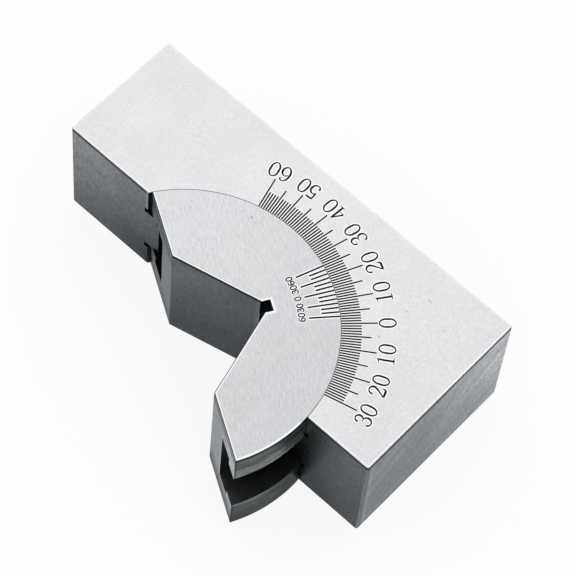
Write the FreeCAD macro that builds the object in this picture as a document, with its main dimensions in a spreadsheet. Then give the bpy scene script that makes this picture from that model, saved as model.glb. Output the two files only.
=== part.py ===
import FreeCAD, Part
import os

import Sketcher

# Adjustable angle plate: a ground steel block with a round pocket, in which a half-disc with a V groove
# turns to a set angle. The block's scale is read against a vernier on the half-disc. A rib in the
# pocket's wall guides the half-disc by its T-slot, and a screw through the block draws a curved nut in
# that slot outwards, which locks the half-disc.
#
# Millimetres. The block lies on the face opposite its scale: X runs along the block, Y towards its long
# face and Z out of the scale face. The origin is in the rest face, under the lock screw, halfway between
# the long face and the pocket.

doc = FreeCAD.newDocument("adjustable_angle_plate")

SIZES = {
    # Block: its outline, and where the turning axis stands in it
    "block_length": 75.0,
    "block_thickness": 24.0,
    "low_height": 22.8,
    "tall_height": 34.2,
    "axis_from_left": 38.0,
    "axis_height": 35.9,
    "block_edge_break": 0.25,
    # Pocket and the guide rib round its wall
    "pocket_radius": 24.5,
    "rib_width": 10.3,
    "rib_relief_depth": 0.6,
    "rib_relief_width": 1.2,
    # Half-disc, its flats and its V groove
    "flat_offset": 1.2,
    "v_opening": 24.8,
    "v_angle": 90.0,
    "v_relief_width": 2.1,
    "v_relief_depth": 1.6,
    "sector_edge_break": 0.15,
    # T-slot round the half-disc
    "lip_depth": 2.7,
    "slot_depth": 6.6,
    "shoulder_width": 1.75,
    # Lock: socket head screw and the nut that it draws
    "thread_diameter": 5.0,
    "head_diameter": 8.5,
    "head_height": 5.0,
    "head_sink": 0.5,
    "head_edge_break": 0.4,
    "tip_chamfer": 0.6,
    "key_width": 4.0,
    "key_depth": 2.5,
    "nut_length": 12.0,
    "nut_edge_break": 0.4,
    "unlock_travel": 0.4,
    # Clearances between the pieces
    "running_clearance": 0.1,
    "guide_clearance": 0.1,
    "rib_gap": 0.7,
    "nut_clearance": 0.1,
    "thread_clearance": 0.1,
    "shank_clearance": 0.25,
    "head_clearance": 0.3,
    # Setting as it lies: where the vernier's zero points at reading 0, from +X, and the reading
    "zero_direction": 45.0,
    "rest_reading": 14.0,
}

sheet = doc.addObject("Spreadsheet::Sheet", "Sizes")
for row, (alias, size) in enumerate(SIZES.items(), start=1):
    sheet.set(f"A{row}", alias)
    sheet.set(f"B{row}", str(size))
    sheet.setAlias(f"B{row}", alias)
doc.recompute()

# Sizes that follow from the sheet, as expressions
LEFT_END = "(-Sizes.axis_from_left)"
RIGHT_END = "(Sizes.block_length - Sizes.axis_from_left)"
LONG_FACE = "Sizes.axis_height"
LOW_FRONT = "(Sizes.axis_height - Sizes.low_height)"
TALL_FRONT = "(Sizes.axis_height - Sizes.tall_height)"
MID_HEIGHT = "(Sizes.block_thickness / 2)"
AXIS_Y = "(-(Sizes.axis_height + Sizes.pocket_radius) / 2)"

SECTOR_RADIUS = "(Sizes.pocket_radius - Sizes.running_clearance)"
LIP_RADIUS = f"({SECTOR_RADIUS} - Sizes.lip_depth)"
FLOOR_RADIUS = f"({SECTOR_RADIUS} - Sizes.slot_depth)"
RIB_RADIUS = f"({LIP_RADIUS} + Sizes.rib_gap)"
MOUTH_WIDTH = "(Sizes.rib_width + 2 * Sizes.guide_clearance)"
SLOT_WIDTH = f"({MOUTH_WIDTH} + 2 * Sizes.shoulder_width)"

NUT_OUTSIDE = f"({LIP_RADIUS} - Sizes.nut_clearance)"
NUT_INSIDE = f"({FLOOR_RADIUS} + Sizes.nut_clearance + Sizes.unlock_travel)"
NUT_WIDTH = f"({SLOT_WIDTH} - 2 * Sizes.nut_clearance)"
HEAD_SEAT = "(Sizes.axis_height - Sizes.head_height - Sizes.head_sink)"
SHANK_LENGTH = f"({HEAD_SEAT} - {NUT_INSIDE})"

# How far a cutting outline runs past the face it opens through
OVERRUN = "1"


def value(expression):
    return float(sheet.evalExpression(expression))


def new_body(name):
    body = doc.addObject("PartDesign::Body", name)
    body.Label = name
    return body


def new_sketch(body, name, role, lift="0"):
    """Sketch in one of the body's origin planes, moved along the plane's normal by an expression."""
    plane = next(item for item in body.Origin.OriginFeatures if item.Role == role)
    sketch = body.newObject("Sketcher::SketchObject", name)
    sketch.AttachmentSupport = (plane, [""])
    sketch.MapMode = "FlatFace"
    sketch.setExpression("AttachmentOffset.Base.z", lift)
    return sketch


def place_point(sketch, name, geometry, end, across, up):
    """Dimensions a point from the sketch's origin. None leaves that coordinate free."""
    for kind, axis, place in (("DistanceX", -2, across), ("DistanceY", -1, up)):
        if place is None:
            continue
        size = value(place)
        if size == 0:
            sketch.addConstraint(Sketcher.Constraint("PointOnObject", geometry, end, axis))
            continue
        index = sketch.addConstraint(Sketcher.Constraint(kind, -1, 1, geometry, end, size))
        label = f"{name}_{kind[-1].lower()}"
        sketch.renameConstraint(index, label)
        sketch.setExpression(f"Constraints.{label}", place)


def draw_outline(sketch, corners, arcs=None):
    """Closed outline through corners, each a pair of expressions. arcs names the sides, by their first
    corner, that are arcs about the origin: +1 runs counter-clockwise, -1 clockwise."""
    arcs = arcs or {}
    points = [FreeCAD.Vector(value(across), value(up), 0) for across, up in corners]
    count = len(points)
    ends = []
    for side, start in enumerate(points):
        stop = points[(side + 1) % count]
        turn = arcs.get(side, 0)
        if turn == 0:
            sketch.addGeometry(Part.LineSegment(start, stop), False)
        else:
            first, last = (start, stop) if turn > 0 else (stop, start)
            circle = Part.Circle(FreeCAD.Vector(), FreeCAD.Vector(0, 0, 1), start.Length)
            arc = Part.ArcOfCircle(circle, circle.parameter(first), circle.parameter(last))
            sketch.addGeometry(arc, False)
        ends.append((2, 1) if turn < 0 else (1, 2))
    for side in range(count):
        after = (side + 1) % count
        joint = Sketcher.Constraint("Coincident", side, ends[side][1], after, ends[after][0])
        sketch.addConstraint(joint)
        if side in arcs:
            sketch.addConstraint(Sketcher.Constraint("Coincident", side, 3, -1, 1))
    for side, (across, up) in enumerate(corners):
        if (side - 1) % count in arcs:
            # An arc ends here, so its radius settles the larger of the two coordinates
            if abs(points[side].x) > abs(points[side].y):
                across = None
            else:
                up = None
        place_point(sketch, f"corner{side}", side, ends[side][0], across, up)


def pad(body, name, sketch, length):
    feature = body.newObject("PartDesign::Pad", name)
    feature.Profile = sketch
    feature.setExpression("Length", length)
    doc.recompute()
    return feature


def turn_away(body, name, section):
    """Cuts the section right round the vertical axis of its sketch."""
    feature = body.newObject("PartDesign::Groove", name)
    feature.Profile = section
    feature.ReferenceAxis = (section, ["V_Axis"])
    feature.Angle = 360
    doc.recompute()
    return feature


def drill(body, name, start, diameter):
    """Through hole along -Y at mid thickness, from a plane at the given distance from the axis."""
    sketch = new_sketch(body, f"{name}Centre", "XZ_Plane", f"-({start})")
    radius = value(diameter) / 2
    middle = FreeCAD.Vector(0, value(MID_HEIGHT), 0)
    sketch.addGeometry(Part.Circle(middle, FreeCAD.Vector(0, 0, 1), radius), False)
    place_point(sketch, "centre", 0, 3, "0", MID_HEIGHT)
    index = sketch.addConstraint(Sketcher.Constraint("Diameter", 0, 2 * radius))
    sketch.renameConstraint(index, "diameter")
    sketch.setExpression("Constraints.diameter", diameter)
    doc.recompute()
    hole = body.newObject("PartDesign::Hole", name)
    hole.Profile = sketch
    doc.recompute()
    hole.Threaded = False
    hole.DepthType = "ThroughAll"
    hole.DrillPoint = "Flat"
    hole.Reversed = True
    hole.setExpression("Diameter", diameter)
    doc.recompute()
    return hole


def break_edges(body, name, chosen, size):
    """Chamfers the edges of the body's last feature for which chosen(edge) is true."""
    base = body.Tip
    picked = [f"Edge{i}" for i, edge in enumerate(base.Shape.Edges, start=1) if chosen(edge)]
    feature = body.newObject("PartDesign::Chamfer", name)
    feature.Base = (base, picked)
    feature.setExpression("Size", size)
    doc.recompute()
    return feature


def is_straight(edge):
    return isinstance(edge.Curve, Part.Line)


def lies_flat(edge, height):
    return all(abs(vertex.Z - height) < 0.001 for vertex in edge.Vertexes)


def make_base_block():
    """Block with one front face lower than the other, and the turned pocket between them."""
    body = new_body("base_block")
    outline = new_sketch(body, "BlockOutline", "XY_Plane")
    draw_outline(outline, [
        (LEFT_END, LONG_FACE),
        (LEFT_END, LOW_FRONT),
        ("0", LOW_FRONT),
        ("0", TALL_FRONT),
        (RIGHT_END, TALL_FRONT),
        (RIGHT_END, LONG_FACE),
    ])
    pad(body, "Block", outline, "Sizes.block_thickness")

    # The pocket's section, from the turning axis out: the wall, with the rib standing out of it at mid
    # thickness and a grinding relief in the wall on either side of the rib
    wall = "Sizes.pocket_radius"
    relief = "(Sizes.pocket_radius + Sizes.rib_relief_depth)"
    rib_low = "((Sizes.block_thickness - Sizes.rib_width) / 2)"
    rib_high = "((Sizes.block_thickness + Sizes.rib_width) / 2)"
    relief_low = f"({rib_low} - Sizes.rib_relief_width)"
    relief_high = f"({rib_high} + Sizes.rib_relief_width)"
    section = new_sketch(body, "PocketSection", "XZ_Plane")
    draw_outline(section, [
        ("0", f"-{OVERRUN}"),
        (wall, f"-{OVERRUN}"),
        (wall, relief_low),
        (relief, relief_low),
        (relief, rib_low),
        (RIB_RADIUS, rib_low),
        (RIB_RADIUS, rib_high),
        (relief, rib_high),
        (relief, relief_high),
        (wall, relief_high),
        (wall, f"Sizes.block_thickness + {OVERRUN}"),
        ("0", f"Sizes.block_thickness + {OVERRUN}"),
    ])
    turn_away(body, "Pocket", section)

    # Lock screw's hole, with the head sunk in the long face
    hole = drill(body, "ScrewHole", LONG_FACE, "Sizes.thread_diameter + 2 * Sizes.shank_clearance")
    hole.HoleCutType = "Counterbore"
    hole.HoleCutCustomValues = True
    hole.setExpression("HoleCutDiameter", "Sizes.head_diameter + 2 * Sizes.head_clearance")
    hole.setExpression("HoleCutDepth", "Sizes.head_height + Sizes.head_sink")
    doc.recompute()

    ends = (value(LEFT_END), value(RIGHT_END))
    faces = (0, value("Sizes.block_thickness"))

    def is_outer(edge):
        if not is_straight(edge):
            middle = edge.CenterOfMass
            return abs(middle.y - value(LONG_FACE)) < 0.001
        if any(lies_flat(edge, height) for height in faces):
            return True
        upright = abs(edge.tangentAt(edge.FirstParameter).z) > 0.999
        return upright and any(abs(edge.Vertexes[0].X - end) < 0.001 for end in ends)

    break_edges(body, "BlockEdges", is_outer, "Sizes.block_edge_break")
    body.setExpression("Placement.Base.y", AXIS_Y)
    return body


def make_v_sector():
    """Half-disc with a V groove on its flat side and a T-slot round its rim, drawn with the V's
    bisector along X."""
    body = new_body("v_sector")
    flat = "Sizes.flat_offset"
    tip = f"sqrt({SECTOR_RADIUS}^2 - {flat}^2)"
    opening = "(Sizes.v_opening / 2)"
    neck = "(Sizes.v_relief_width / 2)"
    neck_depth = f"({flat} + ({opening} - {neck}) / tan(Sizes.v_angle / 2))"
    relief_floor = f"({neck_depth} + Sizes.v_relief_depth)"
    outline = new_sketch(body, "SectorOutline", "XY_Plane")
    draw_outline(outline, [
        (flat, f"-{tip}"),
        (flat, tip),
        (flat, opening),
        (neck_depth, neck),
        (relief_floor, neck),
        (relief_floor, f"-{neck}"),
        (neck_depth, f"-{neck}"),
        (flat, f"-{opening}"),
    ], arcs={0: +1})
    pad(body, "HalfDisc", outline, "Sizes.block_thickness")

    mouth_low = f"({MID_HEIGHT} - {MOUTH_WIDTH} / 2)"
    mouth_high = f"({MID_HEIGHT} + {MOUTH_WIDTH} / 2)"
    slot_low = f"({MID_HEIGHT} - {SLOT_WIDTH} / 2)"
    slot_high = f"({MID_HEIGHT} + {SLOT_WIDTH} / 2)"
    outside = f"({SECTOR_RADIUS} + {OVERRUN})"
    section = new_sketch(body, "SlotSection", "XZ_Plane")
    draw_outline(section, [
        (outside, mouth_low),
        (outside, mouth_high),
        (LIP_RADIUS, mouth_high),
        (LIP_RADIUS, slot_high),
        (FLOOR_RADIUS, slot_high),
        (FLOOR_RADIUS, slot_low),
        (LIP_RADIUS, slot_low),
        (LIP_RADIUS, mouth_low),
    ])
    turn_away(body, "Slot", section)

    faces = (0, value("Sizes.block_thickness"))
    neck_line = value(neck_depth) - 0.001

    def is_front(edge):
        """Straight edges of the flats and of the V's flanks, on both faces."""
        if not is_straight(edge) or not any(lies_flat(edge, height) for height in faces):
            return False
        return edge.CenterOfMass.x < neck_line

    break_edges(body, "SectorEdges", is_front, "Sizes.sector_edge_break")
    body.Placement.Rotation = FreeCAD.Rotation(FreeCAD.Vector(0, 0, 1), 1)
    body.setExpression("Placement.Rotation.Angle", "Sizes.zero_direction + Sizes.rest_reading")
    body.setExpression("Placement.Base.y", AXIS_Y)
    return body


def make_lock_nut():
    """Curved nut that fills the T-slot behind its lips, under the lock screw."""
    body = new_body("lock_nut")
    side = "(Sizes.nut_length / 2)"
    outside = f"sqrt({NUT_OUTSIDE}^2 - {side}^2)"
    inside = f"sqrt({NUT_INSIDE}^2 - {side}^2)"
    outline = new_sketch(body, "NutOutline", "XY_Plane", f"{MID_HEIGHT} - {NUT_WIDTH} / 2")
    draw_outline(outline, [
        (side, outside),
        (f"-{side}", outside),
        (f"-{side}", inside),
        (side, inside),
    ], arcs={0: +1, 2: -1})
    pad(body, "NutBlank", outline, NUT_WIDTH)
    drill(body, "NutThread", NUT_OUTSIDE, "Sizes.thread_diameter + 2 * Sizes.thread_clearance")

    def is_end(edge):
        """The four upright corners of the nut."""
        return is_straight(edge) and abs(edge.tangentAt(edge.FirstParameter).z) > 0.999

    break_edges(body, "NutEdges", is_end, "Sizes.nut_edge_break")
    body.setExpression("Placement.Base.y", AXIS_Y)
    return body


def make_lock_screw():
    """Socket head screw, drawn upright with the seat of its head at the origin."""
    body = new_body("lock_screw")
    shank = "(Sizes.thread_diameter / 2)"
    head = "(Sizes.head_diameter / 2)"
    profile = new_sketch(body, "ScrewProfile", "XZ_Plane")
    draw_outline(profile, [
        ("0", f"-{SHANK_LENGTH}"),
        (f"{shank} - Sizes.tip_chamfer", f"-{SHANK_LENGTH}"),
        (shank, f"Sizes.tip_chamfer - {SHANK_LENGTH}"),
        (shank, "0"),
        (head, "0"),
        (head, "Sizes.head_height - Sizes.head_edge_break"),
        (f"{head} - Sizes.head_edge_break", "Sizes.head_height"),
        ("0", "Sizes.head_height"),
    ])
    blank = body.newObject("PartDesign::Revolution", "ScrewBlank")
    blank.Profile = profile
    blank.ReferenceAxis = (profile, ["V_Axis"])
    blank.Angle = 360
    doc.recompute()

    flat = "(Sizes.key_width / 2)"
    corner = "(Sizes.key_width / sqrt(3))"
    hexagon = new_sketch(body, "KeyOutline", "XY_Plane", "Sizes.head_height")
    draw_outline(hexagon, [
        (corner, "0"),
        (f"{corner} / 2", flat),
        (f"-{corner} / 2", flat),
        (f"-{corner}", "0"),
        (f"-{corner} / 2", f"-{flat}"),
        (f"{corner} / 2", f"-{flat}"),
    ])
    socket = body.newObject("PartDesign::Pocket", "KeySocket")
    socket.Profile = hexagon
    socket.setExpression("Length", "Sizes.key_depth")
    doc.recompute()

    body.Placement.Rotation = FreeCAD.Rotation(FreeCAD.Vector(1, 0, 0), -90)
    body.setExpression("Placement.Base.y", f"{AXIS_Y} + {HEAD_SEAT}")
    body.setExpression("Placement.Base.z", MID_HEIGHT)
    return body


bodies = [make_base_block(), make_v_sector(), make_lock_nut(), make_lock_screw()]
doc.recompute()

for item in doc.Objects:
    if "Invalid" in item.State or "Error" in item.State:
        raise RuntimeError(f"{item.Name} failed: {item.State}")

# A cut that points the wrong way leaves the volume as it was
for body in bodies:
    steps = [item for item in body.Group if item.isDerivedFrom("PartDesign::Feature")]
    for before, after in zip(steps, steps[1:]):
        if after.Shape.Volume >= before.Shape.Volume - 0.01:
            raise RuntimeError(f"{body.Label}: {after.Name} removes nothing")

os.makedirs("parts", exist_ok=True)
for body in bodies:
    shape = body.Shape
    if shape.isNull() or not shape.isValid() or len(shape.Solids) != 1:
        raise RuntimeError(f"{body.Label} isn't one sound solid")
    shape.exportStep(f"parts/{body.Label}.step")
    box = shape.BoundBox
    print(f"{body.Label}: {shape.Volume:.1f} mm3, X {box.XMin:.2f} to {box.XMax:.2f}, "
          f"Y {box.YMin:.2f} to {box.YMax:.2f}, Z {box.ZMin:.2f} to {box.ZMax:.2f}")
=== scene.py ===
import math

import bpy
from mathutils import Matrix, Vector


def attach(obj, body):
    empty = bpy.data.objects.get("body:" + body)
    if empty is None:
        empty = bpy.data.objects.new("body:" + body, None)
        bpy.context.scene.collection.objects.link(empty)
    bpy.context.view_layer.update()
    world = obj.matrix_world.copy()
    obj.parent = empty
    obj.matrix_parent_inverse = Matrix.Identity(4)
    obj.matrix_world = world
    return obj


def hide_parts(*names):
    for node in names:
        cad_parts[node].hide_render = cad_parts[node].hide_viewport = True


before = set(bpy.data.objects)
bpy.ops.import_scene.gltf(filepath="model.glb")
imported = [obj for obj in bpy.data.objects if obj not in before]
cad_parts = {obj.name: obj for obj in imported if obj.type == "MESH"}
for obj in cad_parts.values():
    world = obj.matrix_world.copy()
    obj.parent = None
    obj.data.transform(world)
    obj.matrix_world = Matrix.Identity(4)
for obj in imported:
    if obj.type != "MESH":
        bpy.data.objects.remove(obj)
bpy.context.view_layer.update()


# The block is one piece of hardened tool steel with a round pocket turned into its front.
# Its scale face is lapped to a bright, even satin, and the other flat faces are surface
# ground; their much darker tones are painted shade. The arrises are broken by hand, so each
# shows as a thin bright line, partly wear and partly painted highlight.
MM = 0.001
TURNING_AXIS = Vector((0.0, -30.2, 0.0)) * MM
BUMP_STRENGTH = 0.6
EDGE_TINT = (0.63, 0.655, 0.67, 1.0)
# The near-black of the dull film that paints shade.
SHADE_FILM_BLACK = (0.004, 0.004, 0.005, 1.0)
WARM_CAST = (1.008, 0.997, 0.994, 1.0)
COOL_CAST = (0.996, 1.001, 1.006, 1.0)


class Wire:
    """A socket in a finish. Sums on it add Math nodes, and node() adds any other kind."""

    def __init__(self, tree, socket=None):
        self.tree = tree
        self.socket = socket

    def node(self, kind, settings, values, output=0):
        made = self.tree.nodes.new("ShaderNode" + kind)
        for name, setting in settings.items():
            setattr(made, name, setting)
        for name, value in values.items():
            if isinstance(value, Wire):
                self.tree.links.new(value.socket, made.inputs[name])
            else:
                made.inputs[name].default_value = value
        return Wire(self.tree, made.outputs[output]) if made.outputs else None

    def math(self, operation, first, second):
        return self.node("Math", {"operation": operation}, {0: first, 1: second})

    def __add__(self, other):
        return self.math("ADD", self, other)

    def __radd__(self, other):
        return self.math("ADD", other, self)

    def __sub__(self, other):
        return self.math("SUBTRACT", self, other)

    def __rsub__(self, other):
        return self.math("SUBTRACT", other, self)

    def __mul__(self, other):
        return self.math("MULTIPLY", self, other)

    def __rmul__(self, other):
        return self.math("MULTIPLY", other, self)

    def __pow__(self, other):
        return self.math("POWER", self, other)

    def __abs__(self):
        return self.math("ABSOLUTE", self, 0.0)


def start_finish(name):
    """A new, empty finish, and the wire from which its nodes are drawn."""
    finish = bpy.data.materials.new(name)
    finish.use_nodes = True
    finish.node_tree.nodes.clear()
    return finish, Wire(finish.node_tree)


def ramp(value, low, high):
    """0 where the value is at low and 1 where it is at high, with a soft run between."""
    soft = {"interpolation_type": "SMOOTHSTEP"}
    return value.node("MapRange", soft, {"Value": value, "From Min": low, "From Max": high})


def over(under, laid, mask):
    """One tone laid over another where the mask is 1."""
    return under + (laid - under) * mask


def least(*distances):
    """The smallest of several distances."""
    nearest = distances[0]
    for distance in distances[1:]:
        nearest = nearest.math("MINIMUM", nearest, distance)
    return nearest


def place_mm(pen):
    """The point on the piece, as three wires in millimetres."""
    point = pen.node("TexCoord", {}, {}, "Object")
    point = pen.node("VectorMath", {"operation": "SCALE"}, {0: point, "Scale": 1 / MM})
    return [point.node("SeparateXYZ", {}, {"Vector": point}, axis) for axis in "XYZ"]


def facing(pen, direction, low=0.86, high=0.97):
    """1 on the faces that look in a direction, and 0 on the others."""
    normal = pen.node("TexCoord", {}, {}, "Normal")
    dot = {"operation": "DOT_PRODUCT"}
    along = pen.node("VectorMath", dot, {0: normal, 1: direction}, "Value")
    return ramp(along, low, high)


def grain(pen, sizes, turn=(0.0, 0.0, 0.0), detail=2.0):
    """Noise about zero, whose spots have these sizes in millimetres along turned axes."""
    point = pen.node("TexCoord", {}, {}, "Object")
    values = {"Vector": point, "Rotation": turn, "Scale": [size * MM for size in sizes]}
    point = pen.node("Mapping", {"vector_type": "TEXTURE"}, values)
    return pen.node("TexNoise", {}, {"Vector": point, "Scale": 1.0, "Detail": detail}) - 0.5


def mixed(pen, first, second, mask):
    """One colour where the mask is 0, and another where it is 1."""
    return pen.node("Mix", {"data_type": "RGBA"}, {0: mask, 6: first, 7: second}, 2)


def times(pen, first, second):
    """The product of two colours, or of a colour and a tone."""
    return pen.node("VectorMath", {"operation": "MULTIPLY"}, {0: first, 1: second})


def tinted(pen, tone, dark, bright):
    """The colour of a grey whose cast turns from one tint where it is dark to another where it
    is bright, and drifts a little between warm and cool across the face."""
    tint = mixed(pen, dark, bright, ramp(tone, 0.12, 0.6))
    stains = ramp(grain(pen, (9.0, 9.0, 9.0), detail=1.0), -0.18, 0.18)
    return times(pen, tone, times(pen, tint, mixed(pen, WARM_CAST, COOL_CAST, stains)))


def close_steel(pen, colour, roughness, height, depth, painted_shade=None):
    """Bare steel of this colour and roughness, with this height as its bump, under a dark film of
    painted shade where that is 1."""
    bump = pen.node("Bump", {}, {"Strength": BUMP_STRENGTH, "Distance": depth, "Height": height})
    steel = {"Base Color": colour, "Metallic": 1.0, "Roughness": roughness, "Normal": bump}
    steel["Specular Tint"] = EDGE_TINT
    shader = pen.node("BsdfPrincipled", {}, steel)
    # Where shade is painted, a near-black dull film is mixed over the steel.
    if painted_shade is not None:
        shade_film_settings = {"Base Color": SHADE_FILM_BLACK, "Roughness": 0.7, "Specular IOR Level": 0.1}
        film = pen.node("BsdfPrincipled", {}, shade_film_settings)
        shader = pen.node("MixShader", {}, {0: painted_shade, 1: shader, 2: film})
    pen.node("OutputMaterial", {}, {"Surface": shader})


def pit(first, second, at_first, at_second, size):
    """1 on one small pit of this radius, at a place along two axes of a face in millimetres."""
    across = first - at_first
    up = second - at_second
    return ramp((across * across + up * up) ** 0.5, size, 0.4 * size)


def pitted(tone, x, y, pits):
    """The tone of a scale face with these pits in it, each a tone, a place and a radius."""
    for pit_tone, at_x, at_y, size in pits:
        tone = over(tone, pit_tone, pit(x, y, at_x, at_y, size))
    return tone


# In a finish, places and sizes are in millimetres, and tones run from 0, black, to 1, white.
# Each pair of tints is for where the steel is dark and for where it is bright.
LEFT_END = -38.0
RIGHT_END = 37.0
LONG_FACE = 5.7
LOW_FRONT = -17.1
TALL_FRONT = -28.5
THICKNESS = 24.0
POCKET_RADIUS = 24.5
WORN_AND_HIGHLIT_WIDTH = 0.45
LAPPED_TONE = 0.735
LAPPED_EDGE_TONE = 0.86
LONG_FACE_TONE = 0.38
END_TONE = 0.24
REST_FACE_TONE = 0.5
POCKET_SHADE_TONE = 0.012
POCKET_ARRIS_TONE = 0.30
WORN_AND_HIGHLIT_TONE = 1.0
BLUNT_TONE = 0.20
STEEL_ROUGHNESS = 0.36
STEEL_DEPTH = 0.02 * MM
BLOCK_TINTS = ((0.93, 1.0, 1.055, 1.0), (0.999, 0.997, 1.016, 1.0))
BLOCK_PITS = (
    (0.52, 23.10, -10.45, 0.30), (0.52, 23.27, -4.10, 0.26), (0.55, 29.67, -2.69, 0.26),
    (0.55, 27.20, -3.84, 0.20), (0.30, 21.05, 5.58, 0.32),
)

ground_block, pen = start_finish("ground_block_steel")
x, y, z = place_mm(pen)
from_axis = y - TURNING_AXIS.y / MM
radius = (x * x + from_axis * from_axis) ** 0.5
height = ramp(z, 0.0, THICKNESS)
fine = grain(pen, (0.5, 0.5, 1.1), detail=3.0)
blotch = grain(pen, (1.0, 1.0, 2.2), detail=3.0)
cloud = grain(pen, (7.0, 7.0, 7.0))
patches = ramp(grain(pen, (4.0, 4.0, 4.0), detail=1.0), -0.15, 0.15)
smear = grain(pen, (14.0, 14.0, 1.5), (math.radians(28), 0.0, 0.0))
wheel_lines = grain(pen, (9.0, 9.0, 0.22), detail=3.0)
facing_front = facing(pen, (0, -1, 0))
facing_rear = facing(pen, (0, 1, 0))
facing_end = facing(pen, (1, 0, 0)) + facing(pen, (-1, 0, 0))
front_plane = facing_front * ramp(y, LOW_FRONT + 0.5, LOW_FRONT + 0.2)
side = 1.0 - facing(pen, (0, 0, 1), 0.3, 0.6)

# The arrises, brightest beside the scale face and along the upright back left corner, partly
# worn and partly painted highlight.
tone = over(BLUNT_TONE, WORN_AND_HIGHLIT_TONE, ramp(z, 23.80, 23.90))
back_left = facing(pen, (-0.7, 0.7, 0.0), 0.2, 0.4)
tone = over(tone, WORN_AND_HIGHLIT_TONE, back_left * ramp(z, 23.6, 23.7))

# The two front faces, with painted shade that darkens them downwards, towards the pocket
# and along their bottom edge.
to_pocket = ramp(x, -44.0, -14.0)
low_front = over(over(0.165, 0.018, to_pocket), over(0.325, 0.165, to_pocket), height)
to_right = ramp(x, 24.0, 38.0)
tall_front = over(over(0.03, 0.085, to_right), over(0.09, 0.135, to_right), height)
front = over(low_front, tall_front, ramp(x, -1.0, 1.0)) * over(0.7, 1.0, ramp(z, 0.2, 1.4))
tone = over(tone, front, facing_front)

# The long face, and the ends, which brighten upwards and towards it with painted light and are
# smeared by the wheel. The right one has a painted highlight and a dark line beside the tall
# front. All the sides share an unevenness.
tone = over(tone, LONG_FACE_TONE + height * 0.08, facing_rear)
along = ramp(y, TALL_FRONT, LONG_FACE)
end = END_TONE + height * 0.05 + along * along * (0.18 + height * 0.17)
end = end * over(1.0, 0.6, ramp(y, -27.5, -27.8)) * (1.0 + smear * 0.8)
end = end + 0.07 * ramp(y, -26.4, -27.3) * ramp(y, -27.8, -27.5)
tone = over(tone, end, facing_end)
tone = tone * (1.0 + blotch * 0.4 + cloud * 0.5 + wheel_lines * 0.6)
tone = tone * (1.0 + fine * over(1.1, 0.5, facing_rear))

# The dark line just under the scale face is painted shade, blackest on the ends' back, where a
# dark film of painted shade is laid over it too.
at_back = ramp(y, -14.0, -7.0)
shade_under_edge = ramp(z + facing_end * over(0.5, 0.0, at_back), 23.0, 23.4)
shade_under_edge = shade_under_edge * ramp(z, 23.94, 23.80) * side * (1.0 - facing_rear)
tone = over(tone, tone * over(0.08, over(0.28, 0.12, at_back), facing_end), shade_under_edge)
painted_shade = shade_under_edge * facing_end * over(0.3, 0.95, at_back)

# The pocket's wall, painted near black as shade, with the bright arris above its rib, a pit in
# the right end, and the face that the tool rests on.
pocket_arris = front_plane * ramp(radius, 25.0, 24.7) * ramp(z, 18.3, 18.6) * ramp(x, 0.0, -1.0)
tone = over(tone, POCKET_ARRIS_TONE, pocket_arris)
tone = over(tone, 0.05, facing_end * pit(y, z, 3.05, 18.7, 0.4) * ramp(x, 0.0, 1.0))
pocket = ramp(radius, POCKET_RADIUS + 0.7, POCKET_RADIUS + 0.6)
tone = over(tone, POCKET_SHADE_TONE, pocket * ramp(z, 23.7, 23.6) * (1.0 - front_plane))
tone = over(tone, REST_FACE_TONE, facing(pen, (0, 0, -1)))

# The lapped scale face, with a bright edge that is partly wear and partly painted highlight, its
# pits and one short scratch.
to_tall_end = ramp(x, 8.0, 44.0)
lapped = LAPPED_TONE - to_tall_end * 0.05 + fine * (0.09 + patches * 0.12 + to_tall_end * 0.08)
lapped = lapped + blotch * 0.07 + cloud * 0.10
from_front = y - TALL_FRONT - (LOW_FRONT - TALL_FRONT) * ramp(x, 1.0, 0.0)
from_edge = least(x - LEFT_END, RIGHT_END - x, LONG_FACE - y, from_front)
lapped = over(lapped, LAPPED_EDGE_TONE, ramp(from_edge + fine * 0.3, WORN_AND_HIGHLIT_WIDTH, 0.2))
lapped = pitted(lapped, x, y, BLOCK_PITS)
lapped = over(lapped, 0.46, pit(x * 0.25, y + x * 0.12, 6.18, 2.73, 0.16))
tone = over(tone, lapped, facing(pen, (0, 0, 1)) * ramp(z, 23.0, 23.5))
colour = tinted(pen, tone, *BLOCK_TINTS)
roughness = STEEL_ROUGHNESS + fine * 0.12
close_steel(pen, colour, roughness, fine + blotch, STEEL_DEPTH, painted_shade)
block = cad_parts["base_block"]
block.data.materials[0] = ground_block
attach(block, "block")


# The degree lines are cut into the scale face by a fine pointed cutter and filled with black
# paint, from the pocket's edge outwards. Every fifth line is longer, and every tenth the longest.
# The cutter leaves a low burr of bright steel beside each line.
SCALE_FACE = THICKNESS * MM
LOWEST_READING = -30
HIGHEST_READING = 60
LINE_START = 24.52 * MM
LINE_ENDS = {10: 30.24 * MM, 5: 29.24 * MM, 1: 27.7 * MM}
LINE_WIDTH = 0.27 * MM
LINE_AND_BURR = 0.42 * MM
BURR_PAST_END = 0.08 * MM
PAINT_PROUD = 0.012 * MM
BURR_PROUD = 0.004 * MM
PAINT_SUNK = 0.02 * MM
TOP_INSET = 0.03 * MM
TOP_CROWN = 0.004 * MM
PAINT_IN_HOLLOWS = (0.003, 0.003, 0.004, 1.0)
PAINT_ON_TOP = (0.012, 0.013, 0.014, 1.0)
BURR_TONE = 0.96
BURR_TINTS = ((0.93, 1.0, 1.03, 1.0), (0.997, 0.998, 1.010, 1.0))

# Where the scale's zero lies from the turning axis, in degrees from +X.
ZERO_DIRECTION = 45

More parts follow.
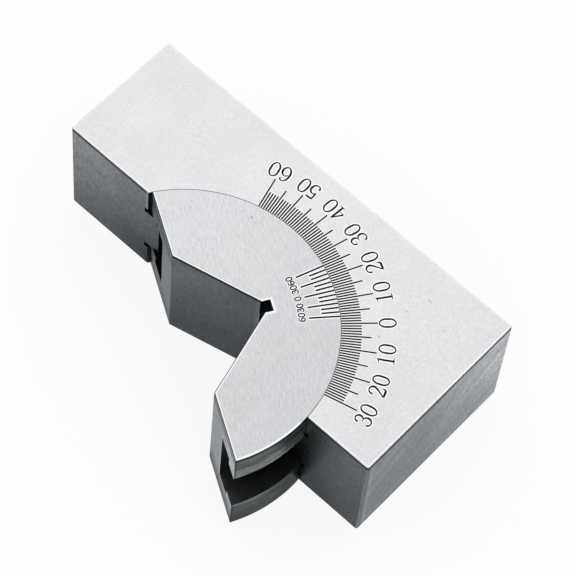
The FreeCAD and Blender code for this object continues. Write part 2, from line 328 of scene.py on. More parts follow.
black_paint, pen = start_finish("black_engraving_paint")
speck = grain(pen, (0.12, 0.12, 0.12), detail=3.0)
shade = mixed(pen, PAINT_IN_HOLLOWS, PAINT_ON_TOP, ramp(speck, -0.2, 0.25))
bump = pen.node("Bump", {}, {"Strength": 0.4, "Distance": 0.01 * MM, "Height": speck})
dull = {"Base Color": shade, "Roughness": 0.62 + speck * 0.3, "Normal": bump}
dull["Specular IOR Level"] = 0.1
pen.node("OutputMaterial", {}, {"Surface": pen.node("BsdfPrincipled", {}, dull)})

bright_burr, pen = start_finish("bright_burr_steel")
speck = grain(pen, (0.2, 0.2, 0.2), detail=3.0)
colour = tinted(pen, BURR_TONE + speck * 0.08, *BURR_TINTS)
close_steel(pen, colour, 0.34 + speck * 0.15, speck, 0.01 * MM)


def cut_line(inner, outer, width, proud):
    """One line along +X from inner to outer, this proud, with its top crowned a little."""
    bpy.ops.object.select_all(action="DESELECT")
    middle = ((inner + outer) / 2, 0.0, SCALE_FACE + (proud - PAINT_SUNK) / 2)
    size = (outer - inner, width, proud + PAINT_SUNK)
    bpy.ops.mesh.primitive_cube_add(size=1, location=middle, scale=size)
    bpy.ops.object.transform_apply(location=True, rotation=False, scale=True)
    line = bpy.context.object
    bpy.ops.object.mode_set(mode="EDIT")
    bpy.ops.mesh.select_all(action="DESELECT")
    bpy.ops.object.mode_set(mode="OBJECT")
    for face in line.data.polygons:
        face.select = face.normal.z > 0.9
    bpy.ops.object.mode_set(mode="EDIT")
    bpy.ops.mesh.inset(thickness=TOP_INSET, depth=0.0)
    bpy.ops.transform.translate(value=(0.0, 0.0, TOP_CROWN))
    bpy.ops.object.mode_set(mode="OBJECT")
    return line


def copy_turned(model, degrees, set_out=Matrix.Identity(4)):
    """A copy of a piece with its own mesh, set out from the turning axis and turned about it."""
    copy = model.copy()
    copy.data = model.data.copy()
    turn = Matrix.Rotation(math.radians(degrees), 4, "Z")
    copy.data.transform(Matrix.Translation(TURNING_AXIS) @ turn @ set_out)
    bpy.context.collection.objects.link(copy)
    return copy


def join_pieces(pieces, name, paint):
    """The pieces made one mesh, named and painted, at the origin."""
    bpy.ops.object.select_all(action="DESELECT")
    for piece in pieces:
        piece.select_set(True)
    bpy.context.view_layer.objects.active = pieces[0]
    bpy.ops.object.join()
    whole = bpy.context.object
    whole.name = name
    whole.data.name = name
    whole.data.materials.clear()
    whole.data.materials.append(paint)
    return whole


def cut_scale(name, finish, width, longer, proud):
    """All the scale's lines in one width, as one piece that rides on the block."""
    models = {}
    for step, end in LINE_ENDS.items():
        models[step] = cut_line(LINE_START, end + longer, width, proud)
    lines = []
    for reading in range(LOWEST_READING, HIGHEST_READING + 1):
        step = 10 if reading % 10 == 0 else 5 if reading % 5 == 0 else 1
        lines.append(copy_turned(models[step], ZERO_DIRECTION + reading))
    for model in models.values():
        bpy.data.objects.remove(model)
    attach(join_pieces(lines, name, finish), "block")


cut_scale("scale_lines", black_paint, LINE_WIDTH, 0.0, PAINT_PROUD)
cut_scale("scale_line_burrs", bright_burr, LINE_AND_BURR, BURR_PAST_END, BURR_PROUD)


# The readings along the scale are engraved with a round-nosed cutter that follows a thin roman
# pattern, thick on the upright strokes and thin where they turn, and filled with black paint.
# Their heads point at the turning axis.
READING_RING = 31.8 * MM
READING_BOLD = 1.75
READING_BURR = 0.15
READING_PROUD = 1.3 * PAINT_PROUD
READING_PLACES = {1: (0.0,), 2: (-1.03, 0.94)}
READINGS = [
    (str(abs(reading)), ZERO_DIRECTION + reading)
    for reading in range(LOWEST_READING, HIGHEST_READING + 1, 10)
]

# Each stroke is True where it closes on itself, and then has its knots, each a place across, a
# place up and half the stroke's width, in millimetres.
ROMAN = {
    "0": [[True, (0, 1.32, 0.078), (0.51, 0.98, 0.10), (0.69, 0, 0.12), (0.51, -0.98, 0.10),
           (0, -1.32, 0.078), (-0.51, -0.98, 0.10), (-0.69, 0, 0.12), (-0.51, 0.98, 0.10)]],
    "1": [[False, (0.10, 1.38, 0.08), (0.04, 0.9, 0.115), (0, 0, 0.12), (0, -1.27, 0.12)],
          [False, (-0.5, 1.14, 0.05), (-0.2, 1.16, 0.06), (0.08, 1.30, 0.07)],
          [False, (-0.5, -1.29, 0.055), (0, -1.27, 0.075), (0.5, -1.29, 0.055)]],
    "2": [[False, (-0.64, 0.66, 0.13), (-0.60, 1.0, 0.09), (-0.12, 1.35, 0.075),
           (0.42, 1.16, 0.105), (0.60, 0.75, 0.125), (0.38, 0.2, 0.115), (-0.15, -0.45, 0.085),
           (-0.74, -1.17, 0.08)],
          [False, (-0.74, -1.21, 0.10), (-0.1, -1.21, 0.13), (0.42, -1.21, 0.12),
           (0.58, -1.02, 0.09), (0.67, -0.68, 0.06)]],
    "3": [[False, (-0.55, 0.70, 0.13), (-0.48, 1.05, 0.085), (-0.05, 1.34, 0.075),
           (0.40, 1.17, 0.105), (0.57, 0.75, 0.125), (0.45, 0.32, 0.10), (0.20, 0.11, 0.065),
           (-0.2, 0.05, 0.05)],
          [False, (0.20, 0.09, 0.06), (0.56, -0.2, 0.10), (0.69, -0.64, 0.125),
           (0.50, -1.12, 0.105), (0, -1.34, 0.075), (-0.46, -1.13, 0.09), (-0.57, -0.82, 0.13)]],
    "4": [[False, (0.37, 1.40, 0.09), (0.37, 0.6, 0.12), (0.37, -1.27, 0.12)],
          [False, (0.33, 1.30, 0.08), (-0.14, 0.45, 0.085), (-0.62, -0.38, 0.11)],
          [False, (-0.65, -0.43, 0.06), (0.1, -0.43, 0.04), (0.85, -0.43, 0.035)],
          [False, (-0.05, -1.29, 0.05), (0.37, -1.27, 0.07), (0.78, -1.29, 0.05)]],
    "5": [[False, (-0.42, 1.25, 0.11), (0.15, 1.25, 0.12), (0.72, 1.25, 0.10)],
          [False, (-0.38, 1.30, 0.10), (-0.38, 0.6, 0.09), (-0.38, 0.06, 0.12)],
          [False, (-0.38, 0.06, 0.09), (-0.14, 0.28, 0.075), (0.14, 0.34, 0.08),
           (0.56, 0.12, 0.11), (0.75, -0.41, 0.13), (0.56, -1.05, 0.11), (0.02, -1.34, 0.08),
           (-0.38, -1.16, 0.09), (-0.50, -0.74, 0.13)]],
    "6": [[False, (0.51, 0.94, 0.13), (0.42, 1.24, 0.085), (0.08, 1.36, 0.07),
           (-0.38, 1.05, 0.10), (-0.69, 0.05, 0.125), (-0.52, -0.95, 0.11), (0, -1.34, 0.078),
           (0.52, -1.05, 0.105), (0.70, -0.48, 0.125), (0.50, 0.12, 0.105), (0.08, 0.33, 0.075),
           (-0.24, 0.20, 0.08), (-0.42, -0.02, 0.06)]],
}


def cut_numeral(strokes, bold, wider, proud):
    """One numeral about the origin, its strokes drawn as tubes of changing width, this much
    bolder and wider than the pattern, then flattened to stand this proud."""
    bpy.ops.object.select_all(action="DESELECT")
    bpy.ops.curve.primitive_bezier_curve_add()
    numeral = bpy.context.object
    drawn = numeral.data
    drawn.splines.clear()
    drawn.bevel_depth = MM
    drawn.bevel_resolution = 1
    drawn.resolution_u = 5
    drawn.use_fill_caps = True
    for closed, *points in strokes:
        stroke = drawn.splines.new("BEZIER")
        stroke.bezier_points.add(len(points) - 1)
        stroke.use_cyclic_u = closed
        for knot, (across, up, half_width) in zip(stroke.bezier_points, points):
            knot.co = (across * MM, up * MM, 0.0)
            knot.radius = half_width * bold + wider
            knot.handle_left_type = "AUTO"
            knot.handle_right_type = "AUTO"
    bpy.ops.object.convert(target="MESH")
    bpy.ops.object.shade_flat()
    numeral.data.transform(Matrix.Diagonal((1.0, 1.0, proud / numeral.dimensions.z * 2.0, 1.0)))
    return numeral


def cut_labels(pattern, labels, places, ring, bold, wider, proud):
    """The numerals of all the labels, each a text and an angle, on one ring in one width. A
    label stands in a row across its angle, with the numerals' heads to the turning axis."""
    numerals = {}
    for mark, strokes in pattern.items():
        numerals[mark] = cut_numeral(strokes, bold, wider, proud)
    pieces = []
    for text, degrees in labels:
        for mark, across in zip(text, places[len(text)]):
            set_out = Matrix.Translation((across * MM, -ring, SCALE_FACE))
            pieces.append(copy_turned(numerals[mark], degrees + 90, set_out))
    for numeral in numerals.values():
        bpy.data.objects.remove(numeral)
    return pieces


def cut_readings(name, finish, wider, proud):
    """All the scale's numerals in one width, as one piece that rides on the block."""
    pieces = cut_labels(ROMAN, READINGS, READING_PLACES, READING_RING, READING_BOLD, wider, proud)
    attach(join_pieces(pieces, name, finish), "block")


cut_readings("scale_numerals", black_paint, 0.0, READING_PROUD)
cut_readings("scale_numeral_burrs", bright_burr, READING_BURR, BURR_PROUD)


# The half-disc turns in the pocket. It is one piece of the same steel with a T-slot turned into
# its rim and a 90 degree V ground across it. Its scale face was ground with the wheel running
# along the V's flats, so straight grinding lines cross it.
RIM_RADIUS = 24.4
FLAT_DEPTH = 1.2
V_DEPTH = 13.6
RELIEF_DEPTH = 14.15
RELIEF_HALF_WIDTH = 1.05
T_SLOT_MIDDLE = 12.0
MOUTH_HALF_HEIGHT = 5.25
SLOT_HALF_HEIGHT = 7.0
LIP_RADIUS = 21.7
SLOT_RADIUS = 17.8
WHEEL_TURN = (0.0, 0.0, math.radians(143))
GROUND_TONE = 0.66
GROUND_EDGE_TONE = 0.92
DASH_TONE = 0.53
LOWER_LIP_TONE = 0.09
UPPER_LIP_TONE = 0.21
OPENING_LINE_TONE = 0.62
UNDERSIDE_TONE = 0.45
SECTOR_TINTS = ((0.93, 1.0, 1.045, 1.0), (0.985, 0.995, 1.020, 1.0))
RIM_TINT = (1.0, 1.02, 0.92, 1.0)
NO_TINT = (1.0, 1.0, 1.0, 1.0)
SECTOR_PITS = (
    (0.38, -5.74, -8.80, 0.28), (0.50, -7.47, -8.98, 0.24), (0.50, -13.97, -14.36, 0.20),
    (0.50, -4.91, -9.18, 0.20), (0.50, -8.90, -17.65, 0.20), (0.48, 22.18, -26.71, 0.24),
)

# Where the vernier's zero, and the V with it, points at rest, in degrees from +X.
ZERO_AT_REST = 59.0
rest_turn = math.radians(ZERO_AT_REST)
outward = (math.cos(rest_turn), math.sin(rest_turn), 0.0)
sideways = (-math.sin(rest_turn), math.cos(rest_turn), 0.0)
flat_normal = tuple(-value for value in outward)
flank_normals = [
    tuple((-a - b) / math.sqrt(2) for a, b in zip(outward, sideways)),
    tuple((-a + b) / math.sqrt(2) for a, b in zip(outward, sideways)),
]


def greatest(first, second):
    """The larger of two distances."""
    return first.math("MAXIMUM", first, second)


ground_sector, pen = start_finish("ground_sector_steel")
x, y, z = place_mm(pen)
from_axis = y - TURNING_AXIS.y / MM
radius = (x * x + from_axis * from_axis) ** 0.5
across = x * sideways[0] + from_axis * sideways[1]
depth = x * outward[0] + from_axis * outward[1]
off_middle = abs(across)
left = ramp(across, -1.0, 1.0)
height = ramp(z, 0.0, THICKNESS)
fine = grain(pen, (0.25, 0.25, 0.25), detail=3.0)
mottle = grain(pen, (0.5, 0.5, 1.1), detail=3.0)
cloud = grain(pen, (6.0, 6.0, 6.0))
wheel = grain(pen, (1.5, 0.2, 0.2), WHEEL_TURN)
dashes = ramp(grain(pen, (1.5, 0.25, 0.25), WHEEL_TURN, detail=1.0), 0.10, 0.22)
turned = grain(pen, (4.5, 4.5, 0.6), detail=3.0)
upright_lines = grain(pen, (0.3, 0.3, 9.0), detail=3.0)
facing_flat = facing(pen, flat_normal)
facing_flank = facing(pen, flank_normals[0]) + facing(pen, flank_normals[1])
side = 1.0 - facing(pen, (0, 0, 1), 0.3, 0.6)

# The arrises, painted black beside the scale face as shade, and the turned rim, whose lips
# differ below and above the T-slot. Painted shade darkens the lower lip downwards and beside
# the pocket, where painted light makes the upper lip lighter; each lip has a painted highlight
# along its edge at the slot's mouth, and on the right the rim is darker next to the flat.
tone = over(0.9, 0.03, ramp(z, 23.6, 23.7))
by_pocket = ramp(from_axis, -5.5, -0.8) * ramp(from_axis, 6.0, 0.5)
lower_lip = LOWER_LIP_TONE * over(1.0, 0.35, by_pocket) * over(0.5, 0.95, ramp(z, 0.3, 6.0))
lower_lip = over(lower_lip, lower_lip * 2.2, ramp(z, 5.9, 6.4))
upper_lip = over(over(UPPER_LIP_TONE, 0.09, ramp(z, 18.8, 20.8)), 0.12, ramp(z, 21.4, 22.3))
upper_lip = over(upper_lip, 0.30, ramp(z, 17.7, 17.4)) * over(1.0, 1.5, by_pocket)
rim = over(lower_lip, upper_lip, ramp(z, 8.0, 16.0)) * (1.0 + turned * 2.8)
rim = rim * over(over(1.0, 0.45, ramp(depth, 1.65, 1.45)), 1.0, left)
on_rim = ramp(radius, RIM_RADIUS - 0.1, RIM_RADIUS - 0.02) * ramp(z, 23.95, 23.85)
tone = over(tone, rim, on_rim)

# The flats beside the V, with painted shade at their bottom and top, and a bright edge at the
# scale face, partly wear and partly painted highlight. The left one is painted darker as shade;
# the right one is painted lighter towards the rim and has a bright line round the T-slot's
# opening, partly wear and partly painted highlight.
flat = ramp(z, 0.5, 7.0) * ramp(z, 23.2, over(21.6, 18.5, left))
flat = over(over(0.04, 0.05, left), over(0.36, 0.19, left), flat)
on_jaw = ramp(off_middle, 19.0, 21.0) * (1.0 - left)
flat = flat * (1.0 + on_jaw * over(0.28, 0.42, ramp(z, 8.0, 16.0)))
from_middle = abs(z - T_SLOT_MIDDLE)
from_slot = greatest(from_middle - SLOT_HALF_HEIGHT, SLOT_RADIUS - off_middle)
from_mouth = greatest(from_middle - MOUTH_HALF_HEIGHT, LIP_RADIUS - off_middle)
from_opening = least(greatest(from_slot, off_middle - LIP_RADIUS), from_mouth)
bright_opening_line = ramp(from_opening + mottle * 0.2, 0.4, 0.25)
flat = over(flat, OPENING_LINE_TONE, bright_opening_line * (1.0 - left))
flat = over(flat, over(0.48, 0.40, left), ramp(z, 23.1, 23.7))
tone = over(tone, flat, facing_flat * ramp(depth, 6.0, 3.0))

# The V's flanks, with painted shade darkening them downwards and inwards, a lighter strip
# beside the relief slot between them, and the slot itself, painted black as shade near its top.
inner = ramp(depth, 2.0, 14.0)
flank = over(0.07, 0.145, height) * (1.0 - inner * 0.3)
flank = over(flank, flank * 1.35, ramp(off_middle, 1.7, 1.4))
tone = over(tone, flank, facing_flank)
in_relief = ramp(depth, 12.4, 12.6) * ramp(radius, 18.0, 17.0) * ramp(off_middle, 1.15, 1.1)
tone = over(tone, over(0.35, 0.035, ramp(z, 19.4, 20.2)), side * in_relief)

# The dark line just under the scale face, which is painted shade, the unevenness that all the
# sides share, the T-slot's inside, painted dark as shade, and the face opposite the scale.
shade_under_edge = ramp(z - facing_flank * 0.4, 22.9, 23.35) * side * (1.0 - facing_flat)
tone = over(tone, tone * over(0.06, 0.13, facing_flank), shade_under_edge)
tone = tone * (1.0 + cloud * 0.5 + mottle * 0.95)
tone = tone * (1.0 + upright_lines * 0.25 * (facing_flank + facing_flat))
slot = ramp(radius, RIM_RADIUS - 0.02, RIM_RADIUS - 0.1) * ramp(z, 4.8, 4.95) * ramp(z, 19.2, 19.05)
in_slot = over(0.09, 0.02, facing(pen, (0, 0, 1)) * left)
tone = over(tone, in_slot, slot * (1.0 - facing_flat - facing_flank))
tone = over(tone, UNDERSIDE_TONE, facing(pen, (0, 0, -1)) * ramp(z, 1.0, 0.5))

# The ground scale face, with its pits and its bright edges, partly wear and partly painted
# highlight. The bright edge runs along the rim only where it stands out of the pocket.
from_flank = (depth + off_middle - V_DEPTH) * math.sqrt(0.5)
from_relief = greatest(off_middle - RELIEF_HALF_WIDTH, depth - RELIEF_DEPTH)
from_free_rim = RIM_RADIUS - radius + 5.0 * ramp(from_axis, 0.0, 2.0)
from_edge = least(depth - FLAT_DEPTH, from_flank, from_relief, from_free_rim)
ground = GROUND_TONE - x * 0.0015 - ramp(x, 0.0, 14.0) * 0.02
ground = ground + wheel * 0.34 + mottle * 0.09 + fine * 0.1 + cloud * 0.05
ground = over(ground, DASH_TONE, dashes * 0.7)
ground = over(ground, GROUND_EDGE_TONE, ramp(from_edge + fine * 0.3, WORN_AND_HIGHLIT_WIDTH, 0.2))
ground = pitted(ground, x, y, SECTOR_PITS)
tone = over(tone, ground, facing(pen, (0, 0, 1)) * ramp(z, 23.0, 23.5))

# The rim is a little yellower than the rest, with a dark film of painted shade low down beside
# the pocket and just under the scale face.
colour = tinted(pen, tone, *SECTOR_TINTS)
colour = times(pen, colour, mixed(pen, NO_TINT, RIM_TINT, on_rim * side))
painted_shade = on_rim * side * (by_pocket * ramp(z, 12.0, 11.0) * 0.3 + ramp(z, 23.1, 23.5) * 0.5)
roughness = STEEL_ROUGHNESS + wheel * 0.15
close_steel(pen, colour, roughness, wheel + mottle, STEEL_DEPTH, painted_shade)
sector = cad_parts["v_sector"]
sector.data.materials[0] = ground_sector
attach(sector, "half_disc")


# The vernier on the half-disc divides 22 degrees into 12, cut and painted like the scale, from
# the rim inwards. Every third line is longer.
VERNIER_COUNT = 13
VERNIER_STEP = 22.0 / 12.0
VERNIER_START = 24.37 * MM
VERNIER_LONG_END = 19.45 * MM
VERNIER_SHORT_END = 21.5 * MM
VERNIER_WIDTH = 0.31 * MM
VERNIER_AND_BURR = 0.64 * MM
VERNIER_BURR_PAST_END = 0.12 * MM


def cut_vernier(name, finish, width, longer, proud):
    """The vernier's lines in one width, as one piece that rides on the half-disc."""
    long_line = cut_line(VERNIER_LONG_END - longer, VERNIER_START, width, proud)
    short_line = cut_line(VERNIER_SHORT_END - longer, VERNIER_START, width, proud)
    lines = []
    for count in range(VERNIER_COUNT):
        model = short_line if count % 3 else long_line
        from_zero = (count - VERNIER_COUNT // 2) * VERNIER_STEP
        lines.append(copy_turned(model, ZERO_AT_REST + from_zero))
    bpy.data.objects.remove(long_line)
    bpy.data.objects.remove(short_line)
    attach(join_pieces(lines, name, finish), "half_disc")


cut_vernier("vernier_lines", black_paint, VERNIER_WIDTH, 0.0, PAINT_PROUD)
cut_vernier("vernier_line_burrs", bright_burr, VERNIER_AND_BURR, VERNIER_BURR_PAST_END, BURR_PROUD)


# The vernier's readings, in minutes, are small plain numerals stamped inside its long lines and
# filled with the same paint. Their knots are written like those of the scale's numerals.
MINUTE_RING = 18.35 * MM
MINUTE_STEP = 5.2
MINUTE_BOLD = 1.35
MINUTE_BURR = 0.09
MINUTE_PLACES = {1: (0.0,), 2: (-0.405, 0.405)}
MINUTES = [
    ("60", ZERO_AT_REST - 2 * MINUTE_STEP), ("30", ZERO_AT_REST - MINUTE_STEP),
    ("0", ZERO_AT_REST), ("30", ZERO_AT_REST + MINUTE_STEP),
    ("60", ZERO_AT_REST + 2 * MINUTE_STEP),
]
PLAIN = {
    "0": [[True, (0, 0.50, 0.095), (0.215, 0.37, 0.10), (0.29, 0, 0.10), (0.215, -0.37, 0.10),
           (0, -0.50, 0.095), (-0.215, -0.37, 0.10), (-0.29, 0, 0.10), (-0.215, 0.37, 0.10)]],
    "3": [[False, (-0.26, 0.34, 0.095), (-0.14, 0.46, 0.095), (0.02, 0.50, 0.095),
           (0.24, 0.28, 0.10), (0.12, 0.08, 0.09), (-0.06, 0.04, 0.085)],
          [False, (0.05, 0.04, 0.085), (0.23, -0.05, 0.095), (0.28, -0.22, 0.10),
           (0.16, -0.45, 0.095), (-0.02, -0.50, 0.095), (-0.18, -0.44, 0.095),
           (-0.27, -0.30, 0.10)]],
    "6": [[False, (0.24, 0.40, 0.095), (0.06, 0.50, 0.09), (-0.17, 0.38, 0.095),
           (-0.28, 0.02, 0.10), (-0.25, -0.30, 0.10), (0, -0.50, 0.095), (0.22, -0.38, 0.095),
           (0.28, -0.18, 0.10), (0.19, 0.02, 0.095), (0.02, 0.08, 0.09), (-0.20, -0.05, 0.08)]],
}


def stamp_minutes(name, finish, wider, proud):
    """The vernier's numerals in one width, as one piece that rides on the half-disc."""
    pieces = cut_labels(PLAIN, MINUTES, MINUTE_PLACES, MINUTE_RING, MINUTE_BOLD, wider, proud)
    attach(join_pieces(pieces, name, finish), "half_disc")


stamp_minutes("vernier_numerals", black_paint, 0.0, PAINT_PROUD)
stamp_minutes("vernier_numeral_burrs", bright_burr, MINUTE_BURR, BURR_PROUD)


# The lock nut is a small curved block of plain steel, turned on its outer face to the radius of
# the T-slot's lips. The screw pulls it against them.
NUT_TONE = 0.42
NUT_ROUGHNESS = 0.40
RING_DEPTH = 0.03 * MM
PLAIN_TINTS = ((0.97, 1.0, 1.04, 1.0), NO_TINT)

turned_nut, pen = start_finish("turned_nut_steel")
rings = grain(pen, (6.0, 6.0, 0.15), detail=3.0)
fine = grain(pen, (0.3, 0.3, 0.3))
tone = NUT_TONE + rings * 0.25 + fine * 0.12
colour = tinted(pen, tone, *PLAIN_TINTS)
close_steel(pen, colour, NUT_ROUGHNESS + fine * 0.2, rings, RING_DEPTH)
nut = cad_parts["lock_nut"]
nut.data.materials[0] = turned_nut
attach(nut, "nut")


# The lock screw is a standard M5 socket head screw of black oxide steel, turned, rolled and
# sunk in the long face. Its head is knurled, and its key socket is pressed in. It is drawn
# upright about its own axis, seat to socket, and then laid along the screw hole.
SIDES = 96
TIP = -11.9 * MM
TIP_RADIUS = 1.9 * MM
CORE_RADIUS = 2.02 * MM
SHANK_RADIUS = 2.5 * MM
HEAD_RADIUS = 4.25 * MM
HEAD_TOP = 5.2 * MM
HEAD_TOP_RADIUS = 3.85 * MM
SEAT = 0.2 * MM
KNURL_DEPTH = 0.14 * MM
KNURL_LOW = 0.7 * MM
KNURL_HIGH = 4.35 * MM
KEY_RADIUS = 2.31 * MM
KEY_LOW = 2.7 * MM
KEY_HIGH = 5.05 * MM
KEY_CHAMFER = 0.25 * MM
KEY_CHAMFER_SPREAD = 1.12
DRILL_POINT = 0.45 * MM
DRILL_POINT_SPREAD = 0.4
THREAD_PITCH = 0.8 * MM
THREAD_TURNS = 13
THREAD_STEPS = 32
THREAD_START = -11.2 * MM
THREAD_LOW = -11.4 * MM
THREAD_HIGH = -0.45 * MM
THREAD_RUN_OUT = 0.5 * MM
SMOOTH_UNDER = math.radians(25)
SCREW_HEIGHT = 12.0 * MM
OXIDE_TONE = 0.045
OXIDE_ROUGHNESS = 0.40

# The thread's ridge in section, out from the screw's axis and along it, in millimetres.
THREAD_FORM = ((1.96, -0.36), (2.5, -0.05), (2.5, 0.05), (1.96, 0.36))

screw_rings = [
    (CORE_RADIUS, -11.75 * MM), (CORE_RADIUS, -0.7 * MM), (SHANK_RADIUS, -0.3 * MM),
    (SHANK_RADIUS, SEAT), (HEAD_RADIUS - 0.15 * MM, SEAT), (HEAD_RADIUS, 0.35 * MM),
    (HEAD_RADIUS, 0.6 * MM), (HEAD_RADIUS, 0.75 * MM), (HEAD_RADIUS, 4.3 * MM),
    (HEAD_RADIUS, 4.45 * MM), (HEAD_RADIUS, 4.8 * MM), (HEAD_TOP_RADIUS, HEAD_TOP),
]
bpy.ops.object.select_all(action="DESELECT")
radius, height = TIP_RADIUS, TIP
bpy.ops.mesh.primitive_circle_add(
    vertices=SIDES, radius=radius, fill_type="NGON", location=(0.0, 0.0, height))
bpy.ops.object.transform_apply(location=True, rotation=False, scale=False)
screw = bpy.context.object
bpy.ops.object.mode_set(mode="EDIT")
for next_radius, next_height in screw_rings:
    lift = {"value": (0.0, 0.0, next_height - height)}
    bpy.ops.mesh.extrude_region_move(TRANSFORM_OT_translate=lift)
    bpy.ops.transform.resize(value=(next_radius / radius, next_radius / radius, 1.0))
    radius, height = next_radius, next_height
bpy.ops.mesh.select_all(action="DESELECT")
bpy.ops.object.mode_set(mode="OBJECT")

# Every second upright edge of the head is drawn in, which leaves the knurl's ridges.
for vertex in screw.data.vertices:
    turn = math.atan2(vertex.co.y, vertex.co.x) / (2 * math.pi / SIDES)
    vertex.select = KNURL_LOW < vertex.co.z < KNURL_HIGH and round(turn) % 2 == 1
bpy.ops.object.mode_set(mode="EDIT")
bpy.ops.mesh.select_mode(type="VERT")
groove = 1.0 - KNURL_DEPTH / HEAD_RADIUS
bpy.ops.transform.resize(value=(groove, groove, 1.0), center_override=(0.0, 0.0, 0.0))
bpy.ops.mesh.select_all(action="SELECT")
bpy.ops.mesh.normals_make_consistent(inside=False)
bpy.ops.object.mode_set(mode="OBJECT")

# The key socket is cut out of the head, with a chamfer at its mouth and a drilled bottom.
bpy.ops.object.select_all(action="DESELECT")
bpy.ops.mesh.primitive_cylinder_add(
    vertices=6, radius=KEY_RADIUS, depth=KEY_HIGH - KEY_LOW,
    location=(0.0, 0.0, (KEY_LOW + KEY_HIGH) / 2))
bpy.ops.object.transform_apply(location=True, rotation=False, scale=False)
key = bpy.context.object
for up, rise, widen in (
        (1.0, KEY_CHAMFER, KEY_CHAMFER_SPREAD), (-1.0, -DRILL_POINT, DRILL_POINT_SPREAD)):
    for face in key.data.polygons:
        face.select = face.normal.z * up > 0.9
    bpy.ops.object.mode_set(mode="EDIT")
    bpy.ops.mesh.select_mode(type="FACE")
    bpy.ops.mesh.extrude_region_move(TRANSFORM_OT_translate={"value": (0.0, 0.0, rise)})
    bpy.ops.transform.resize(value=(widen, widen, 1.0))
    bpy.ops.mesh.select_all(action="DESELECT")
    bpy.ops.object.mode_set(mode="OBJECT")
bpy.ops.object.select_all(action="DESELECT")
bpy.context.view_layer.objects.active = screw
screw.select_set(True)
socket = screw.modifiers.new("key_socket", "BOOLEAN")
socket.operation = "DIFFERENCE"
socket.object = key
bpy.ops.object.modifier_apply(modifier=socket.name)
bpy.data.objects.remove(key)

# The thread is one ridge wound round the core, sunk into it at both ends.
bpy.ops.object.select_all(action="DESELECT")
bpy.ops.mesh.primitive_circle_add(vertices=4, radius=0.3 * MM, fill_type="NOTHING")
ridge = bpy.context.object
for vertex, (out, along) in zip(ridge.data.vertices, THREAD_FORM):
    vertex.co = (out * MM, 0.0, along * MM + THREAD_START)
thread = ridge.modifiers.new("thread", "SCREW")
thread.axis = "Z"
thread.angle = 2 * math.pi
thread.screw_offset = THREAD_PITCH
thread.iterations = THREAD_TURNS
thread.steps = THREAD_STEPS
thread.render_steps = THREAD_STEPS
thread.use_smooth_shade = False
bpy.ops.object.modifier_apply(modifier=thread.name)
for vertex in ridge.data.vertices:
    from_end = min(vertex.co.z - THREAD_LOW, THREAD_HIGH - vertex.co.z) / THREAD_RUN_OUT
    out = math.hypot(vertex.co.x, vertex.co.y)
    crest = TIP_RADIUS + (SHANK_RADIUS - TIP_RADIUS) * max(0.0, min(1.0, from_end))
    lowered = min(out, crest)
    vertex.co.x *= lowered / out
    vertex.co.y *= lowered / out
bpy.ops.object.mode_set(mode="EDIT")
bpy.ops.mesh.select_all(action="SELECT")
bpy.ops.mesh.remove_doubles(threshold=0.001 * MM)
bpy.ops.mesh.fill_holes(sides=4)
bpy.ops.mesh.select_all(action="SELECT")
bpy.ops.mesh.normals_make_consistent(inside=False)
bpy.ops.object.mode_set(mode="OBJECT")

# Black oxide, worn a little round the head's outer edge and at the socket's mouth.
black_oxide, pen = start_finish("black_oxide_steel")
x, y, z = place_mm(pen)
up = z - SCREW_HEIGHT / MM
out = (x * x + up * up) ** 0.5
fine = grain(pen, (0.3, 0.3, 0.3), detail=3.0)
blotch = grain(pen, (1.6, 1.6, 1.6), detail=3.0)
rings = out.math("SINE", out * 34.0, 0.0)
worn = ramp(out + blotch * 0.5, 4.05, 4.3) * ramp(y, 0.3, 0.6)
worn = worn + ramp(out + fine * 0.3, 2.75, 2.45) * ramp(y, 5.0, 5.15)
tone = OXIDE_TONE + fine * 0.03 + blotch * 0.04 + rings * 0.004 + worn * 0.10
colour = tinted(pen, tone, *PLAIN_TINTS)
roughness = OXIDE_ROUGHNESS + fine * 0.25 - worn * 0.08
close_steel(pen, colour, roughness, fine + rings * 0.3, STEEL_DEPTH)
screw = join_pieces([screw, ridge], "socket_head_screw", black_oxide)
bpy.ops.object.shade_smooth_by_angle(angle=SMOOTH_UNDER)
lie_down = Matrix.Rotation(math.radians(-90), 4, "X")
screw.data.transform(Matrix.Translation((0.0, 0.0, SCREW_HEIGHT)) @ lie_down)
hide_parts("lock_screw")
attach(screw, "screw")


# The ground is a white paper sweep. It shows white to the camera and in the steel, and keeps
# the tool's soft shadow.
PAPER_SIZE = 8.0
PAPER_UNDER = 0.05 * MM
PAPER_GREY = (0.96, 0.96, 0.96, 1.0)
WHITE = (1.0, 1.0, 1.0, 1.0)
SHOWN_WHITE = 0.87

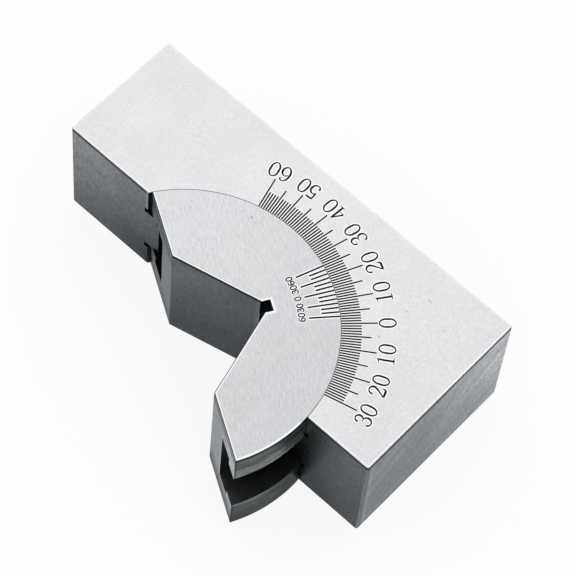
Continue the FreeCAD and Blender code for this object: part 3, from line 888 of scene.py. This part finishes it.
paper, pen = start_finish("white_paper")
by_camera = pen.node("LightPath", {}, {}, "Is Camera Ray")
by_mirror = pen.node("LightPath", {}, {}, "Is Glossy Ray")
by_glass = pen.node("LightPath", {}, {}, "Is Transmission Ray")
seen = greatest(by_camera, greatest(by_mirror, by_glass))
lit = pen.node("BsdfDiffuse", {}, {"Color": PAPER_GREY, "Roughness": 0.0})
white = pen.node("Emission", {}, {"Color": WHITE, "Strength": 1.0})
shown = pen.node("MixShader", {}, {0: seen * SHOWN_WHITE, 1: lit, 2: white})
pen.node("OutputMaterial", {}, {"Surface": shown})
bpy.ops.object.select_all(action="DESELECT")
bpy.ops.mesh.primitive_plane_add(size=PAPER_SIZE, location=(0.0, 0.0, -PAPER_UNDER))
floor = bpy.context.object
floor.name = "paper_floor"
floor.data.materials.append(paper)


# The light is a white studio all round, with one weak square lamp above and behind the tool,
# pointed at it.
LAMP_PLACE = Vector((-0.15, 0.25, 0.7))
LAMP_AIM = Vector((0.0, -0.01, 0.0))
LAMP_SIZE = 0.5
LAMP_POWER = 0.12

world = bpy.data.worlds.new("studio")
bpy.context.scene.world = world
world.use_nodes = True
world.node_tree.nodes.clear()
pen = Wire(world.node_tree)
sky = pen.node("Background", {}, {"Color": WHITE, "Strength": 1.0})
pen.node("OutputWorld", {}, {"Surface": sky})
lamp = bpy.data.lights.new("lamp_above", "AREA")
lamp.size = LAMP_SIZE
lamp.energy = LAMP_POWER
holder = bpy.data.objects.new("lamp_above", lamp)
bpy.context.collection.objects.link(holder)
holder.location = LAMP_PLACE
holder.rotation_euler = (LAMP_AIM - LAMP_PLACE).to_track_quat("-Z", "Y").to_euler()


# The camera has a long lens. It stands high in front of the tall end and looks down at the
# scale face, as in the photograph.
CAMERA_PLACE = Vector((134.074, -184.088, 427.315)) * MM
CAMERA_RIGHT = (0.73396213, 0.67703054, 0.0541224)
CAMERA_UP = (-0.61934869, 0.63446055, 0.46245757)
CAMERA_BACK = (0.27875937, -0.37294699, 0.884988)
LENS = 180.527
SENSOR_WIDTH = 36.0

camera_data = bpy.data.cameras.new("camera")
camera_data.sensor_width = SENSOR_WIDTH
camera_data.lens = LENS
camera_data.clip_start = 0.01
camera_data.clip_end = 50.0
camera = bpy.data.objects.new("camera", camera_data)
bpy.context.collection.objects.link(camera)
turn = Matrix((CAMERA_RIGHT, CAMERA_UP, CAMERA_BACK)).transposed()
camera.matrix_world = Matrix.Translation(CAMERA_PLACE) @ turn.to_4x4()
bpy.context.scene.camera = camera
bpy.context.scene.view_settings.view_transform = "Standard"
